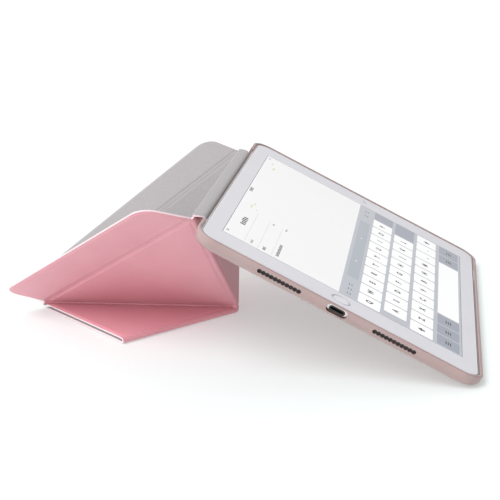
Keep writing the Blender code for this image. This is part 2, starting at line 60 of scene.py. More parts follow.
# ------------------------------------------------------------------ sizes shared with the CAD
GLASS_CENTRE = Vector((0.06992, 0, 0.04532))
TABLET_TILT = math.radians(28.0)
FRONT_DEPTH = 0.0805
FOLD_HALF = 0.0903
COVER_DEPTH = 0.1665
STRIP_WIDTH = 0.0294
STRIP_START = 0.0035
STRIP_CORNER = 0.0120
FREE_CORNER = 0.0095
STRIP_FOLD_NEAR = math.radians(-5.0)
STRIP_FOLD_FAR = math.radians(20.0)
COVER_THICKNESS = 0.0020
FLAP_GAP = 0.0004
SPINE_WIDTH = 0.0063
SPINE_REST_DIRECTION = (-0.0485, 0.0400)
SPINE_HINGE = (-0.0864, -0.0045)
TABLET_WIDTH = 0.1695
TABLET_LENGTH = 0.2400
TABLET_THICKNESS = 0.0061
TABLET_CORNER = 0.0100
TABLET_EDGE_ROUND = 0.0032
CLEARANCE = 0.0003
SHELL_WALL = 0.0017
SHELL_BACK = 0.0081
SHELL_LIP = 0.0005
HULL_INSET = 0.0080
HULL_TOP = 0.0020
HINGE_WALL_TOP = 0.0050
HINGE_GAP_LENGTH = 0.1900
FEATURE_N = -0.0030
SPEAKER_U = 0.0346
SPEAKER_HOLES = (11, 0.00235, 0.00135)   # count, pitch and radius
CAMERA_UV = (0.0705, 0.1070)
JACK_U = -0.0640
POWER_U = 0.0620
VOLUME_MIDDLE = 0.08025
SCREEN_WIDTH = 0.1478
SCREEN_LENGTH = 0.1971


# ------------------------------------------------------------------ colours and node materials
def srgb(red, green, blue):
    """Linear colour from 0-255 display values."""
    def linear(value):
        value /= 255
        return value / 12.92 if value <= 0.04045 else ((value + 0.055) / 1.055) ** 2.4
    return (linear(red), linear(green), linear(blue), 1.0)


class Surface:
    """A Principled material that is built up in steps. Scales are per metre, reliefs in metres."""

    def __init__(self, name, roughness=0.5, metallic=0.0, **sockets):
        self.material = bpy.data.materials.new(name)
        self.material.use_nodes = True
        self.tree = self.material.node_tree
        self.shader = self.tree.nodes["Principled BSDF"]
        self.set(Roughness=roughness, Metallic=metallic)
        for key, value in sockets.items():
            self.set(**{key.replace("_", " "): value})
        self.place = self.tree.nodes.new("ShaderNodeTexCoord").outputs["Object"]
        self.bump = None

    def set(self, **sockets):
        for key, value in sockets.items():
            self.shader.inputs[key].default_value = value

    def noise(self, scale, detail=3.0, roughness=0.55):
        node = self.tree.nodes.new("ShaderNodeTexNoise")
        node.inputs["Scale"].default_value = scale
        node.inputs["Detail"].default_value = detail
        node.inputs["Roughness"].default_value = roughness
        self.tree.links.new(self.place, node.inputs["Vector"])
        return node.outputs["Fac"]

    def cells(self, scale):
        node = self.tree.nodes.new("ShaderNodeTexVoronoi")
        node.inputs["Scale"].default_value = scale
        self.tree.links.new(self.place, node.inputs["Vector"])
        return node.outputs["Distance"]

    def ramp(self, value, stops):
        node = self.tree.nodes.new("ShaderNodeValToRGB")
        elements = node.color_ramp.elements
        while len(elements) < len(stops):
            elements.new(0.5)
        for element, (place, colour) in zip(elements, stops):
            element.position = place
            element.color = colour
        self.tree.links.new(value, node.inputs["Fac"])
        return node.outputs["Color"]

    def colour(self, value):
        self.tree.links.new(value, self.shader.inputs["Base Color"])
        return self

    def relief(self, height, strength, distance):
        node = self.tree.nodes.new("ShaderNodeBump")
        node.inputs["Strength"].default_value = strength
        node.inputs["Distance"].default_value = distance
        self.tree.links.new(height, node.inputs["Height"])
        if self.bump:
            self.tree.links.new(self.bump, node.inputs["Normal"])
        self.bump = node.outputs["Normal"]
        self.tree.links.new(self.bump, self.shader.inputs["Normal"])
        return self

    def rough(self, value, low, high):
        node = self.tree.nodes.new("ShaderNodeMapRange")
        node.inputs["To Min"].default_value = low
        node.inputs["To Max"].default_value = high
        self.tree.links.new(value, node.inputs["Value"])
        self.tree.links.new(node.outputs["Result"], self.shader.inputs["Roughness"])
        return self


def make_leather():
    made = Surface("pink_leather", 0.5, Sheen_Weight=0.15, Sheen_Roughness=0.5,
                   Specular_IOR_Level=0.35)
    made.colour(made.ramp(made.noise(38.0, 4.0), (
        (0.35, srgb(219, 153, 164)), (0.65, srgb(223, 158, 168)))))
    made.rough(made.noise(240.0), 0.44, 0.56)
    made.relief(made.cells(1900.0), 0.22, 0.00005)
    made.relief(made.noise(700.0), 0.10, 0.00006)
    return made.material


def make_felt():
    made = Surface("grey_microfibre", 0.95, Sheen_Weight=0.35, Sheen_Roughness=0.6,
                   Specular_IOR_Level=0.15)
    made.colour(made.ramp(made.noise(1900.0, 5.0, 0.7), (
        (0.34, srgb(149, 144, 147)), (0.50, srgb(162, 157, 159)), (0.68, srgb(174, 169, 171)))))
    made.relief(made.noise(3200.0, 4.0), 0.35, 0.00007)
    return made.material


def make_cut_edge_and_rim_highlight():
    # Pale colour of the cut edges; on a panel's free edges it also runs over the rim of each face
    # as a painted highlight.
    made = Surface("pale_cut_edge_and_painted_rim_highlight", 0.6)
    made.colour(made.ramp(made.noise(900.0), (
        (0.3, srgb(236, 212, 216)), (0.7, srgb(247, 230, 233)))))
    made.relief(made.noise(3000.0), 0.2, 0.00005)
    return made.material


def make_shell():
    made = Surface("rose_shell_plastic", 0.34, Coat_Weight=0.12, Coat_Roughness=0.25,
                   Subsurface_Weight=0.12, Subsurface_Scale=0.0015)
    made.colour(made.ramp(made.noise(60.0), (
        (0.3, srgb(168, 144, 142)), (0.7, srgb(172, 148, 146)))))
    made.rough(made.noise(500.0), 0.30, 0.40)
    made.relief(made.noise(2200.0), 0.08, 0.00004)
    return made.material


def make_bezel():
    made = Surface("white_bezel_glass", 0.06, Coat_Weight=0.6, Coat_Roughness=0.03)
    made.colour(made.ramp(made.noise(25.0), (
        (0.3, srgb(233, 232, 240)), (0.7, srgb(237, 236, 243)))))
    made.relief(made.noise(90.0), 0.02, 0.00002)
    return made.material


def make_metal(name, colour, roughness):
    made = Surface(name, roughness, 1.0)
    made.colour(made.ramp(made.noise(700.0, 5.0), (
        (0.3, tuple(0.90 * c for c in colour[:3]) + (1.0,)), (0.7, colour))))
    made.rough(made.noise(1500.0), roughness - 0.05, roughness + 0.06)
    made.relief(made.noise(4000.0), 0.08, 0.00003)
    return made.material


def make_plain(name, colour, roughness, grain=900.0, spread=0.08, **sockets):
    made = Surface(name, roughness, **sockets)
    dark = tuple((1 - spread) * c for c in colour[:3]) + (1.0,)
    made.colour(made.ramp(made.noise(grain), ((0.3, dark), (0.7, colour))))
    made.relief(made.noise(grain * 2), 0.05, 0.00003)
    return made.material


def make_mesh_grille():
    made = Surface("woven_grille", 0.55)
    made.colour(made.ramp(made.cells(2600.0), (
        (0.25, srgb(20, 19, 21)), (0.50, srgb(66, 62, 64)))))
    made.relief(made.cells(2600.0), 0.8, 0.0001)
    return made.material


def make_lens():
    made = Surface("lens_glass", 0.03, Coat_Weight=1.0)
    made.colour(made.ramp(made.noise(600.0), (
        (0.4, srgb(10, 10, 16)), (0.6, srgb(24, 26, 42)))))
    return made.material


def make_board():
    made = Surface("circuit_board", 0.45)
    made.colour(made.ramp(made.cells(300.0), (
        (0.2, srgb(24, 70, 42)), (0.6, srgb(14, 48, 30)))))
    made.relief(made.cells(300.0), 0.5, 0.0003)
    return made.material


def make_lit(name, colour, glow, roughness=0.08):
    """A patch of the lit display."""
    made = Surface(name, roughness, Coat_Weight=0.4, Coat_Roughness=0.03,
                   Emission_Color=colour, Emission_Strength=glow)
    pale = tuple(0.985 * c for c in colour[:3]) + (1.0,)
    made.colour(made.ramp(made.noise(60.0), ((0.3, pale), (0.7, colour))))
    return made.material


LEATHER = make_leather()
FELT = make_felt()
CUT_EDGE_AND_RIM_HIGHLIGHT = make_cut_edge_and_rim_highlight()
SHELL = make_shell()
BEZEL = make_bezel()
SILVER = make_metal("blasted_silver", srgb(226, 216, 214), 0.32)
CHROME = make_metal("polished_ring", srgb(232, 224, 222), 0.16)
MAGNET = make_metal("plated_magnet", srgb(190, 190, 192), 0.28)
GRILLE = make_mesh_grille()
SOCKET = make_plain("socket_liner", srgb(46, 43, 44), 0.5)
LENS = make_lens()
CIRCUIT = make_board()
CARD = make_plain("stiffener_card", srgb(190, 180, 165), 0.85, 500.0, 0.12)
FOIL = make_plain("battery_pouch", srgb(40, 40, 42), 0.35)
RING = make_plain("pale_ring", srgb(214, 213, 221), 0.18, 600.0, 0.03)
SENSOR = make_plain("pale_sensor", srgb(186, 186, 196), 0.10, 600.0, 0.03)
DISPLAY = make_plain("display_stack", srgb(30, 30, 34), 0.4)
KEY_FACE = make_plain("key_face", srgb(236, 235, 242), 0.12, 300.0, 0.02)


# ------------------------------------------------------------------ frames, as in the CAD
def tablet_frame():
    return Matrix.Translation(GLASS_CENTRE) @ Matrix.Rotation(TABLET_TILT, 4, "Y")


def spine_frame():
    hinge = tablet_frame() @ Vector((SPINE_HINGE[0], 0, SPINE_HINGE[1]))
    along = Vector((SPINE_REST_DIRECTION[0], 0, SPINE_REST_DIRECTION[1])).normalized()
    side = Vector((0, 1, 0))
    turned = Matrix((along, side, along.cross(side))).transposed().to_4x4()
    return Matrix.Translation(hinge) @ turned


def turn_about(point, axis, angle):
    move = Matrix.Translation(Vector(point))
    return move @ Matrix.Rotation(angle, 4, Vector(axis)) @ move.inverted()


POINTS = {
    "front": Vector((FRONT_DEPTH, 0, 0)),
    "near_top": Vector((0, -FOLD_HALF, 0)),
    "far_top": Vector((0, FOLD_HALF, 0)),
    "near_back": Vector((COVER_DEPTH, -FOLD_HALF, 0)),
    "far_back": Vector((COVER_DEPTH, FOLD_HALF, 0)),
    "tip": Vector((COVER_DEPTH, 0, 0)),
}


def panel_frames():
    valley = math.hypot(COVER_DEPTH - FRONT_DEPTH, FOLD_HALF)
    lean = (COVER_DEPTH ** 2 - FRONT_DEPTH ** 2 - FOLD_HALF ** 2 - valley ** 2) / (2 * valley)
    height = math.sqrt(FRONT_DEPTH ** 2 - lean ** 2)
    front_normal = Vector((height, 0, -lean)).normalized()
    wall_normal = Vector((0, -height, -FOLD_HALF)).normalized()
    wall = front_normal.angle(wall_normal)
    flap = wall_normal.angle(Vector((0, 0, 1)))
    lean_angle = math.atan2(-height, -lean)
    p = POINTS
    outer = Vector((0, 0, COVER_THICKNESS))
    crease = spine_frame() @ Vector((SPINE_WIDTH, 0, 0))
    down = Vector((math.cos(lean_angle), 0, math.sin(lean_angle)))
    side = Vector((0, 1, 0))
    out = down.cross(side)
    front = Matrix((down, side, out)).transposed().to_4x4()
    front = Matrix.Translation(crease - out * COVER_THICKNESS / 2) @ front
    near_wall = front @ turn_about(p["front"], p["near_top"] - p["front"], -wall)
    near_flap = near_wall @ turn_about(p["front"] + outer, p["near_back"] - p["front"], flap)
    far_flap = near_flap @ turn_about(p["front"] - Vector((0, 0, FLAP_GAP / 2)),
                                      p["tip"] - p["front"], -math.pi)
    far_wall = front @ turn_about(p["front"], p["far_top"] - p["front"], wall)
    near_strip = near_wall @ turn_about(p["near_top"], (1, 0, 0), STRIP_FOLD_NEAR)
    far_strip = far_wall @ turn_about(p["far_top"] + outer, (1, 0, 0), STRIP_FOLD_FAR)
    return {"front_panel": front, "near_wall": near_wall, "near_flap": near_flap,
            "far_flap": far_flap, "far_wall": far_wall, "near_strip": near_strip,
            "far_strip": far_strip}


FRAMES = panel_frames()
TABLET = tablet_frame()


# ------------------------------------------------------------------ mesh helpers
def new_piece(name, data, materials, smooth_angle=35):
    mesh = bpy.data.meshes.new(name)
    bmesh.ops.recalc_face_normals(data, faces=data.faces)
    data.to_mesh(mesh)
    data.free()
    piece = bpy.data.objects.new(name, mesh)
    bpy.context.scene.collection.objects.link(piece)
    for material in materials:
        mesh.materials.append(material)
    mesh.shade_smooth()
    mesh.set_sharp_from_angle(angle=math.radians(smooth_angle))
    return piece


def smooth_step(value, low, high):
    t = min(1.0, max(0.0, (value - low) / (high - low)))
    return t * t * (3 - 2 * t)


def arc(centre, radius, start, stop, steps):
    points = []
    for step in range(steps + 1):
        angle = math.radians(start + (stop - start) * step / steps)
        points.append((centre[0] + radius * math.cos(angle), centre[1] + radius * math.sin(angle)))
    return points


def inset(polygon, distances):
    """Move each edge of a convex polygon inwards by its own distance."""
    centre = sum((Vector(point) for point in polygon), Vector((0, 0))) / len(polygon)
    lines = []
    for index, point in enumerate(polygon):
        start = Vector(point)
        along = (Vector(polygon[(index + 1) % len(polygon)]) - start).normalized()
        normal = Vector((-along.y, along.x))
        if normal.dot(centre - start) < 0:
            normal = -normal
        lines.append((normal, normal.dot(start) + distances[index]))
    moved = []
    for index, (normal, offset) in enumerate(lines):
        before, before_offset = lines[index - 1]
        solve = Matrix((before, normal)).inverted()
        moved.append(solve @ Vector((before_offset, offset)))
    return moved


def divided(polygon, counts):
    """The polygon's outline with each edge cut into its own number of steps."""
    points = []
    for index, start in enumerate(polygon):
        stop = polygon[(index + 1) % len(polygon)]
        for step in range(counts[index]):
            points.append(start.lerp(stop, step / counts[index]))
    return points


# ------------------------------------------------------------------ the soft cover
EDGE_MIDDLE = 0.00100            # where skin and lining are bonded, above the lining's face
BOND_HALF = 0.00046              # half the thickness of the bonded edge
PLATEAU_START = 0.0009           # from here in, the layers part over the stiffener
PLATEAU_STOP = 0.0021
RING_INSETS = (0.0, 0.00012, 0.00040, 0.0009, 0.0013, 0.0017, 0.0021, 0.0030, 0.0055)
FAN_SHARES = (0.35, 0.7)         # rings between the last inset and the panel's middle
EDGE_AND_HIGHLIGHT_RINGS = 2                   # rings of a free edge that are pale: the cut edge itself, then a painted highlight on the rim of each face
SKIN_GAUGE = 0.00045
EDGE_STEP = 0.008
CORNER_STEPS = 8
STRIP_END_SLANT = 10             # degrees
FAR_STRIP_LIFT = -6.0            # degrees about its crease, at the hinge end
FAR_STRIP_TWIST = 10.5           # degrees from there to the free edge
STRIP_TURN_REACH = 0.004         # the twist sets in over this distance from the crease
FAR_WALL_LAP = 0.0010            # the far wall's foot past its crease, less than the CAD's
FOOT_PUSH = 0.0014               # how far out the far wall's foot stands
FOOT_HEIGHTS = (0.0005, 0.0075)  # the push fades out between these heights


def layer_height(distance, layer, face):
    """Height of a layer's outer or inner face, from how far in from the edge a point lies."""
    rise = smooth_step(distance, PLATEAU_START, PLATEAU_STOP)
    half = BOND_HALF * smooth_step(distance, -0.00008, 0.00022)
    outer = half + (COVER_THICKNESS / 2 - BOND_HALF) * rise
    inner = max(0.0, outer - SKIN_GAUGE) if face == "inner" else outer
    return EDGE_MIDDLE + (inner if layer == "skin" else -inner)


def soft_layer(name, outline, free_edges, layer, to_world, bend):
    """One bonded layer of a panel: a thin closed sheet that rises over the stiffener inside."""
    counts = []
    pale = []
    for index, start in enumerate(outline):
        length = (outline[(index + 1) % len(outline)] - start).length
        counts.append(max(1, round(length / EDGE_STEP)))
        pale += [index in free_edges] * counts[-1]
    data = bmesh.new()
    rings = {}
    for face in ("outer", "inner"):
        rows = []
        for distance in RING_INSETS:
            if face == "inner" and distance == 0.0:
                rows.append(rings["outer"][0])
                continue
            ring = divided(inset(outline, [distance] * len(outline)), counts)
            height = layer_height(distance, layer, face)
            if distance == 0.0:
                height = EDGE_MIDDLE + (BOND_HALF / 2) * (1 if layer == "skin" else -1)
            rows.append([data.verts.new(to_world @ bend(Vector((p.x, p.y, height))))
                         for p in ring])
        last = divided(inset(outline, [RING_INSETS[-1]] * len(outline)), counts)
        centre = sum(last, Vector((0, 0))) / len(last)
        height = layer_height(1.0, layer, face)
        for share in FAN_SHARES:
            rows.append([data.verts.new(to_world @ bend(Vector((*p.lerp(centre, share), height))))
                         for p in last])
        rings[face] = rows
        for level, (low, high) in enumerate(zip(rows, rows[1:])):
            for index in range(len(low)):
                after = (index + 1) % len(low)
                made = data.faces.new((low[index], low[after], high[after], high[index]))
                # The pale rings are the cut edge itself and, next to it, a painted highlight along
                # the face's rim.
                made.material_index = 1 if (level < EDGE_AND_HIGHLIGHT_RINGS and pale[index]) else 0
        middle = data.verts.new(to_world @ bend(Vector((*centre, height))))
        for index in range(len(rows[-1])):
            after = (index + 1) % len(rows[-1])
            data.faces.new((rows[-1][index], rows[-1][after], middle))
    face_material = LEATHER if layer == "skin" else FELT
    return new_piece(name, data, (face_material, CUT_EDGE_AND_RIM_HIGHLIGHT))


def strip_shape(side):
    """A side strip: rounded at both outer corners, its hinge end slanting in to the crease."""
    edge = FOLD_HALF + STRIP_WIDTH
    free_corner = (COVER_DEPTH - FREE_CORNER, edge - FREE_CORNER)
    hinge_corner = (STRIP_START + STRIP_CORNER, edge - STRIP_CORNER)
    points = [(COVER_DEPTH, FOLD_HALF)]
    points += arc(free_corner, FREE_CORNER, 0, 90, CORNER_STEPS)
    points += arc(hinge_corner, STRIP_CORNER, 90, 180 - STRIP_END_SLANT, CORNER_STEPS)
    x, y = points[-1]
    points += [(x - math.tan(math.radians(STRIP_END_SLANT)) * (y - FOLD_HALF), FOLD_HALF)]
    return [Vector((x, side * y)) for x, y in points]


def far_strip_bend(point):
    """The far strip stands up at the hinge and droops towards the cover's free edge."""
    share = point.x / COVER_DEPTH
    angle = math.radians(FAR_STRIP_LIFT + FAR_STRIP_TWIST * share)
    crease = Vector((0, FOLD_HALF, COVER_THICKNESS))
    reach = smooth_step(point.y - FOLD_HALF, 0.0, STRIP_TURN_REACH)
    return crease + Matrix.Rotation(angle * reach, 3, "X") @ (point - crease)


def far_wall_bend(point):
    """The far wall's foot stands a little outwards, clear of the near wall's valley fold."""
    crease = POINTS["far_back"] - POINTS["front"]
    into = Vector((-crease.y, crease.x, 0)).normalized()
    height = (point - POINTS["front"]).dot(into)
    return point + Vector((0, 0, FOOT_PUSH * (1 - smooth_step(height, *FOOT_HEIGHTS))))


def straight(point):
    return point


def panel_shapes():
    """Each panel's outline in the flat pattern, and how far in each of its edges stands."""
    p = {key: value.to_2d() for key, value in POINTS.items()}
    split, foot, flap, hinge, free = 0.00035, 0.0008, 0.0012, 0.0020, 0.0
    shapes = {
        "front_panel": ([p["near_top"], p["front"], p["far_top"]], [split, split, hinge]),
        "near_wall": ([p["near_top"], p["near_back"], p["front"]], [split, split, split]),
        "near_flap": ([p["front"], p["near_back"], p["tip"]], [flap, free, split]),
        "far_wall": ([p["far_top"], p["front"], p["far_back"]], [split, -FAR_WALL_LAP, split]),
        "far_flap": ([p["front"], p["far_back"], p["tip"]], [foot, free, split]),
    }
    for side, name in ((-1, "near_strip"), (1, "far_strip")):
        shape = strip_shape(side)
        shapes[name] = (shape, [free] * (len(shape) - 1) + [split])
    return shapes


def press_flat(piece):
    """Gives the piece a mesh of its own; nothing here presses it flat."""
    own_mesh(piece)


def build_panels():
    for panel, (corners, distances) in panel_shapes().items():
        outline = inset(corners, distances)
        free_edges = [index for index, distance in enumerate(distances) if not distance]
        bend = {"far_strip": far_strip_bend, "far_wall": far_wall_bend}.get(panel, straight)
        for layer in ("skin", "lining"):
            piece = soft_layer(panel + "_soft_" + layer, outline, free_edges, layer,
                               FRAMES[panel], bend)
            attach(piece, panel)
            nodes = [panel + "_" + layer]
            if layer == "skin":
                nodes.append(panel + "_board")
            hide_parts(*nodes)
            if panel == "far_strip":
                press_flat(piece)


TAIL_STEPS = 3
CREASE_ROWS = 12
CREASE_HALF = BOND_HALF + 0.00002        # just covers the bonded edges that it joins
CREASE_TAIL = 0.0012                     # how far a crease runs on over each panel
VALLEY_TAIL = 0.0021                     # and the valley's over the flap
SHARP_FOLD = 0.6                         # radians; each crease's fold angle is compared with this, but the result is not used


def crease_section(panel_a, panel_b, inward, height, tails, steps):
    """Centre line of a bonded crease, as (offset from the axis, normal) pairs."""
    turn_a = FRAMES[panel_a].to_3x3()
    turn_b = FRAMES[panel_b].to_3x3()
    into = Vector((*inward, 0)).normalized()
    up = Vector((0, 0, 1))
    along_a, normal_a = turn_a @ into, turn_a @ up
    along_b, normal_b = turn_b @ -into, turn_b @ up
    rise = EDGE_MIDDLE - height
    axis = (turn_a @ into.cross(up)).normalized()
    angle = normal_a.angle(normal_b)
    middle = Matrix.Rotation(angle / 2, 3, axis) @ normal_a
    if middle.dot(along_a + along_b) * rise > 0:
        angle = -angle
    points = []
    for step in range(TAIL_STEPS):
        reach = tails[0] * (1 - step / TAIL_STEPS)
        points.append((along_a * reach + normal_a * rise, normal_a))
    for step in range(steps + 1):
        normal = Matrix.Rotation(angle * step / steps, 3, axis) @ normal_a
        points.append((normal * rise, normal))
    for step in range(1, TAIL_STEPS + 1):
        reach = tails[1] * step / TAIL_STEPS
        points.append((along_b * reach + normal_b * rise, normal_b))
    return points


def sweep_strip(name, sections, half, pale_columns=None):
    """A thin closed strip: each section is its centre line at a station, as (point, normal) pairs.

    Its two side ends show the pale cut edge, along the whole section or its first columns.
    """
    data = bmesh.new()
    outer, inner = [], []
    for section in sections:
        outer.append([data.verts.new(point + normal * half) for point, normal in section])
        inner.append([data.verts.new(point - normal * half) for point, normal in section])
    count = len(sections[0])
    if pale_columns is None:
        pale_columns = count

    def quad(a, b, c, d, index):
        data.faces.new((a, b, c, d)).material_index = index

    for row in range(len(sections) - 1):
        for index in range(count - 1):
            quad(outer[row][index], outer[row][index + 1], outer[row + 1][index + 1],
                 outer[row + 1][index], 0)
            quad(inner[row][index], inner[row + 1][index], inner[row + 1][index + 1],
                 inner[row][index + 1], 1)
        for index in (0, count - 1):
            quad(outer[row][index], outer[row + 1][index], inner[row + 1][index],
                 inner[row][index], 1)
    for row in (0, len(sections) - 1):
        for index in range(count - 1):
            quad(outer[row][index], inner[row][index], inner[row][index + 1],
                 outer[row][index + 1], 2 if index < pale_columns else 0)
    return new_piece(name, data, (LEATHER, FELT, CUT_EDGE_AND_RIM_HIGHLIGHT), 50)


def crease_strip(name, panel_a, panel_b, ends, inward, height, tails, trims, steps=8):
    """The soft fold between two panels. height is the fold axis above the lining's face."""
    first, last = (POINTS[end] for end in ends)
    along = (last - first).normalized()
    first = first + along * trims[0]
    last = last - along * trims[1]
    section = crease_section(panel_a, panel_b, inward, height, tails, steps)
    lift = Vector((0, 0, height))
    starts = [FRAMES[panel_a] @ (first.lerp(last, row / CREASE_ROWS) + lift)
              for row in range(CREASE_ROWS + 1)]
    sections = [[(start + offset, normal) for offset, normal in section] for start in starts]
    piece = sweep_strip(name, sections, CREASE_HALF)
    sharp = section[0][1].angle(section[-1][1]) > SHARP_FOLD
    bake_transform(piece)


def build_creases():
    top = COVER_THICKNESS
    tails = (CREASE_TAIL, CREASE_TAIL)
    valley_tails = (CREASE_TAIL, VALLEY_TAIL)
    front_trim, corner_trim, strip_trim = (0.0006, 0.0004), (0.0012, 0.0), (0.0005, 0.0)
    for side, name in ((1, "near"), (-1, "far")):
        wall = name + "_wall"
        crease_strip("fold_front_" + wall, "front_panel", wall, (name + "_top", "front"),
                     (-FOLD_HALF, side * FRONT_DEPTH), 0.0, tails, front_trim)
    crease_strip("fold_near_valley", "near_wall", "near_flap", ("front", "near_back"),
                 (-FOLD_HALF, FRONT_DEPTH - COVER_DEPTH), top, valley_tails, corner_trim)
    crease_strip("fold_flap_edge", "near_flap", "far_flap", ("front", "tip"),
                 (0, -1), -FLAP_GAP / 2, tails, corner_trim, 14)
    crease_strip("fold_near_strip", "near_wall", "near_strip", ("near_top", "near_back"),
                 (0, 1), 0.0, tails, strip_trim, 2)
    crease_strip("fold_far_strip", "far_wall", "far_strip", ("far_top", "far_back"),
                 (0, -1), top, tails, strip_trim, 4)


GATHER_OFFSET = Vector((-0.0007, 0.0, -0.0026))
GATHER_HALF = Vector((0.0021, 0.0024, 0.0031))
GATHER_POWER = 0.8               # 1 is an ellipsoid, less is squarer


def build_front_corner():
    """The gathered corner of leather where the walls' folds meet the flaps' folds."""
    data = bmesh.new()
    bmesh.ops.create_icosphere(data, subdivisions=4, radius=1.0)
    centre = FRAMES["front_panel"] @ POINTS["front"] + GATHER_OFFSET
    for vert in data.verts:
        squared = [math.copysign(abs(value) ** GATHER_POWER, value) for value in vert.co]
        vert.co = centre + GATHER_HALF * Vector(squared)
    piece = new_piece("front_corner_gather", data, (LEATHER,))
    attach(piece, "near_wall")
    press_flat(piece)


# ------------------------------------------------------------------ the spine band
SPINE_HALF = 0.0900              # reaches the strips, a little past the CAD's band
SPINE_TRIM = 0.0004              # clear of the wall folds
SPINE_ROWS = 24
ARCH_STEPS = 16
ARCH_CUT = 10                    # the step of the arch where the cover's piece starts
ARCH_OVERLAP = 2
TURN_STEPS = 10
TURN_REACH = 0.0012
TURN_DROP = 0.0016
TAIL_STEP = 0.0007
SHELL_SIDE_HALF = 0.00044
COVER_SIDE_HALF = 0.00045


def bezier(a, b, c, d, steps):
    points = []
    for step in range(steps + 1):
        t = step / steps
        s = 1 - t
        points.append(a * s ** 3 + b * 3 * s * s * t + c * 3 * s * t * t + d * t ** 3)
    return points


def path_section(points):
    """Centre line points and their normals, in the plane across the hinge."""
    section = []
    for index, point in enumerate(points):
        before = points[max(0, index - 1)]
        after = points[min(len(points) - 1, index + 1)]
        along = (after - before).normalized()
        section.append((point, along.cross(Vector((0, 1, 0)))))
    return section


def build_spine():
    """An arched band from the tablet's edge to the cover, in two pieces that meet half way."""
    def place(u, n):
        """A point from millimetres across the glass and above it."""
        return TABLET @ Vector((u * MM, 0, n * MM))

    hinge = spine_frame() @ Vector((SPINE_WIDTH, 0, 0))
    down = FRAMES["front_panel"].to_3x3() @ Vector((1, 0, 0))
    top, crown = place(-92.4, -3.05), place(-88.0, -1.35)
    arch = bezier(place(-85.72, -4.8), place(-85.4, -0.2), crown, top, ARCH_STEPS)
    low = hinge + down * TURN_DROP
    lean = (top - crown).normalized()
    turn = bezier(top, top + lean * TURN_REACH, low - down * TURN_REACH, low, TURN_STEPS)
    tail = [hinge + down * (TURN_DROP + TAIL_STEP * step) for step in range(1, TAIL_STEPS + 1)]
    top_at = ARCH_STEPS - ARCH_CUT
    pieces = (
        ("spine_arch_shell_side", arch[:ARCH_CUT + ARCH_OVERLAP + 1], SHELL_SIDE_HALF,
         "case_shell", "spine_band", 1, ARCH_CUT - 2, None),
        ("spine_arch_cover_side", arch[ARCH_CUT:] + turn[1:] + tail, COVER_SIDE_HALF,
         "spine_band", "front_panel", top_at, top_at + TURN_STEPS, top_at + 2),
    )
    for name, path, half, body_a, body_b, first, last, pale_columns in pieces:
        sections = []
        for row in range(SPINE_ROWS + 1):
            share = 2 * row / SPINE_ROWS - 1
            section = []
            for point, normal in path_section(path):
                depth = max(0.0, (point - hinge).dot(down))
                reach = min(SPINE_HALF, FOLD_HALF * (1 - depth / FRONT_DEPTH) - SPINE_TRIM)
                section.append((point + Vector((0, share * reach, 0)), normal))
            sections.append(section)
        piece = sweep_strip(name, sections, half, pale_columns)
        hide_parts("spine_band_skin", "spine_band_lining")
        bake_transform(piece)


# ------------------------------------------------------------------ the moulded shell
RECTANGLE_STEPS = 20
SLOT_STEPS = 12
HOLE_STEPS = 8
HULL_STEPS = 18
POCKET_STEPS = 8
LIP_STEPS = 6
LIP_START = -0.0002              # where the lip starts to round over, from the glass
LIP_ROUND = 0.0009
LIP_FALL = ((0.0014, SHELL_LIP), (0.0019, 0.0003), (0.0021, 0.0), (0.0021, -0.0001),
            (SHELL_WALL, -0.0006))       # pull-in and height, down over the housing's rim
PORT_CUT = (0.0126, 0.0052)      # lengths and heights of the openings
JACK_CUT = (0.0076, 0.0052)
POWER_CUT = (0.0170, 0.0050)
VOLUME_CUT = (0.0320, 0.0050)
CAMERA_CUT_RADIUS = 0.0075
CAMERA_CUT_SIDES = 48
CAMERA_CUT = (-0.012, -0.004)    # lowest and highest, from the glass
CUT_START, CUT_STOP = -0.001, 0.005      # across a side wall, from the tablet's side outwards
GAP_CUT = (-0.002, 0.004)        # across the hinge side, from the shell's side inwards
GAP_CUT_TOP = 0.004


def rounded_rectangle(half_u, half_v, radius):
    points = []
    for side_u, side_v, start in ((1, 1, 0), (-1, 1, 90), (-1, -1, 180), (1, -1, 270)):
        centre = (side_u * (half_u - radius), side_v * (half_v - radius))
        points += arc(centre, radius, start, start + 90, RECTANGLE_STEPS)
    return points


def slot_outline(length, height):
    radius = height / 2
    reach = length / 2 - radius
    return (arc((reach, 0), radius, -90, 90, SLOT_STEPS)
            + arc((-reach, 0), radius, 90, 270, SLOT_STEPS))


def scalloped_outline(count, pitch, radius):
    """The outline of a row of holes that run into each other."""
    steps = HOLE_STEPS
    half_overlap = math.degrees(math.acos(pitch / 2 / radius))
    first = -(count - 1) * pitch / 2
    points = arc((first, 0), radius, 180, 360 - half_overlap, steps + 1)[:-1]
    for index in range(1, count - 1):
        centre = (first + index * pitch, 0)
        points += arc(centre, radius, 180 + half_overlap, 360 - half_overlap, steps)[:-1]
    points += arc((-first, 0), radius, half_overlap - 180, 180 - half_overlap, 2 * steps)[:-1]
    for index in range(count - 2, 0, -1):
        centre = (first + index * pitch, 0)
        points += arc(centre, radius, half_overlap, 180 - half_overlap, steps)[:-1]
    points += arc((first, 0), radius, half_overlap, 180, steps + 1)[:-1]
    return points


def shell_ring(pull_in, height):
    """The shell's outline at a height from the glass, pulled in from its outer side."""
    margin = CLEARANCE + SHELL_WALL - pull_in
    outline = rounded_rectangle(TABLET_WIDTH / 2 + margin, TABLET_LENGTH / 2 + margin,
                                TABLET_CORNER + margin)
    return [Vector((u, v, height)) for u, v in outline]


def shell_quarter(first_inset, inset_depth, top, depth, steps):
    """Rings that follow a quarter ellipse, from the side round to the flat bottom."""
    rings = []
    for step in range(1, steps + 1):
        angle = math.pi / 2 * step / steps
        rings.append(shell_ring(first_inset + inset_depth * (1 - math.cos(angle)),
                                top - depth * math.sin(angle)))
    return rings


